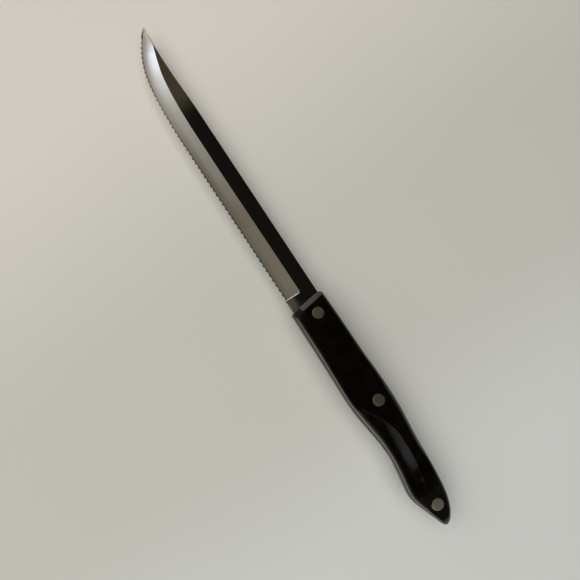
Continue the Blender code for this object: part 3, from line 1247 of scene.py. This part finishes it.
@dataclass(frozen=True)
class Patch:
    """A patch of the room's light.

    It comes in over each of its spans, or goes out where a span runs backwards. A span is measured in a part
    of the direction: along the knife towards the tip, across it towards the cutting edge, up, or on a slant,
    which is a share of along plus a share of across.
    """

    tint: Tint
    light: float
    mirrored: float = 0.0
    along: Span | None = None
    along_end: Span | None = None
    across: Span | None = None
    up: Span | None = None
    slant: Span = (0.0, 0.0)
    slant_end: Span | None = None

    def strength(self, direction: Sequence[Value], glossy: Value) -> Value:
        """Works out the patch's light.

        Args:
            direction: the direction's parts along, across and up.
            glossy: 1 for light that the knife mirrors.

        Returns:
            The light, with more of it where the knife mirrors it.
        """
        along, across, up = direction
        light = self.light + self.mirrored * glossy
        spans = ((along, self.along), (along, self.along_end), (across, self.across), (up, self.up))
        for part, span in spans:
            if span:
                light = light * part.step(*span)
        if self.slant_end:
            slanted = self.slant[0] * along + self.slant[1] * across
            light = light * slanted.step(*self.slant_end)
        return light


@dataclass
class Studio:
    """A dim warm room with a cool window ahead of the knife, a bright wall beside it and a light above."""

    gloom: float = 0.009
    backdrop: float = 0.70
    wall: Patch = Patch(Tint.WARM, 0.25, 3.55, along=(0.20, -0.05), across=(0.10, 0.75), up=(0.95, 0.0))
    ceiling_low: Patch = Patch(Tint.OLIVE, 0.090, along=(0.03, 0.085), across=(-0.075, -0.071))
    ceiling_high: Patch = Patch(Tint.OLIVE, 0.105, along=(0.03, 0.085), across=(-0.006, 0.014))
    ceiling_side: Patch = Patch(Tint.PLAIN, 0.042, along=(0.03, 0.085), across=(0.07, 0.15))
    ceiling_middle: Patch = Patch(Tint.PLAIN, 0.105, along=(0.30, 0.41), across=(0.07, 0.15))
    ceiling_tip: Patch = Patch(Tint.PLAIN, 0.212, along=(0.41, 0.57), across=(-0.07, 0.0))
    tip_glow: Patch = Patch(Tint.BROWN, 0.066, along=(0.52, 0.56))
    tip_grey: Patch = Patch(Tint.PLAIN, 0.35, along=(0.738, 0.828))
    butt_glow: Patch = Patch(Tint.PLAIN, 0.052, along=(-0.34, -0.48))
    leaf: Patch = Patch(Tint.PLAIN, 0.62, along=(-0.355, -0.338), along_end=(-0.236, -0.262),
                        across=(0.045, 0.062), slant=(-0.6, 1.0), slant_end=(0.279, 0.261))
    window: Patch = Patch(Tint.COOL, 1.35, along=(0.546, 0.70), along_end=(0.738, 0.713),
                          across=(0.033, 0.112), slant=(1.0, -0.4), slant_end=(0.682, 0.650))
    low_backdrop: Patch = Patch(Tint.PALE, 0.0, 0.70, up=(0.37, 0.05))
    far_backdrop: Patch = Patch(Tint.PALE, 0.0, 0.21, across=(-0.1, -0.4), up=(0.8, 0.2))
    top_place: Point = (-0.05, 0.40, 1.2)
    top_size: float = 2.4
    top_power: float = 23.7

    def patches(self) -> list[Patch]:
        """Returns every patch of the room's light."""
        return [patch for patch in vars(self).values() if isinstance(patch, Patch)]

    def build_world(self) -> None:
        """Sets the room's light by direction, and a plain backdrop where the camera sees past the table."""
        world = bpy.data.worlds.new("studio")
        bpy.context.scene.world = world
        world.use_nodes = True
        nodes = Nodes(world.node_tree)
        direction = nodes.split(nodes.value("ShaderNodeTexCoord", output="Generated"))
        seen = nodes.value("ShaderNodeLightPath", output="Is Camera Ray")
        glossy = nodes.value("ShaderNodeLightPath", output="Is Glossy Ray")
        strength = self.gloom
        colour = Tint.WARM.value
        for patch in self.patches():
            light = patch.strength(direction, glossy)
            strength = strength + light
            colour = nodes.mixed(light / strength, colour, patch.tint.value)
        background = world.node_tree.nodes["Background"]
        nodes.feed(background.inputs["Strength"], self.backdrop * seen + (1 - seen) * strength)
        nodes.feed(background.inputs["Color"], nodes.mixed(seen, colour, Tint.PALE.value))

    def build_top_light(self) -> None:
        """Hangs the soft light above, which the knife doesn't mirror."""
        data = bpy.data.lights.new("top_light", "AREA")
        data.size = self.top_size
        data.energy = self.top_power
        data.color = Tint.PALE.value[:3]
        obj = bpy.data.objects.new("top_light", data)
        obj.location = self.top_place
        obj.visible_glossy = False
        bpy.context.scene.collection.objects.link(obj)


def fix(piece: Object, node: str) -> None:
    """Puts a piece in the place of its CAD node.

    Args:
        piece: the finished piece.
        node: the CAD node that it stands for.
    """
    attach(piece, "root")
    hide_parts(node)
    LOG.info("%s: %d faces", piece.name, len(piece.data.polygons))


def main() -> None:
    """Builds the knife, its table, the light and the camera."""
    logging.basicConfig(level=logging.INFO, format="%(name)s %(message)s")
    bpy.context.scene.view_settings.view_transform = "Standard"
    low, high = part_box("blade")
    middle_z = (low[2] + high[2]) / 2
    form = HandleForm()
    rivets = RivetSet()
    PhotoCamera().build()
    fix(Blade(form, rivets, middle_z).build(), "blade")
    resin = HandleResin().material()
    for side in Side:
        piece = Scale(form, rivets, side, middle_z).build(resin)
        fix(piece, f"{side.name.lower()}_scale")
    nickel = RivetNickel().material()
    for name in rivets.places:
        for half in Half:
            piece = Rivet(form, rivets, name, half, middle_z).build(nickel)
            fix(piece, f"{name}_rivet_{half.value}")
    Table().build()
    studio = Studio()
    studio.build_world()
    studio.build_top_light()


if __name__ == "__main__":
    main()
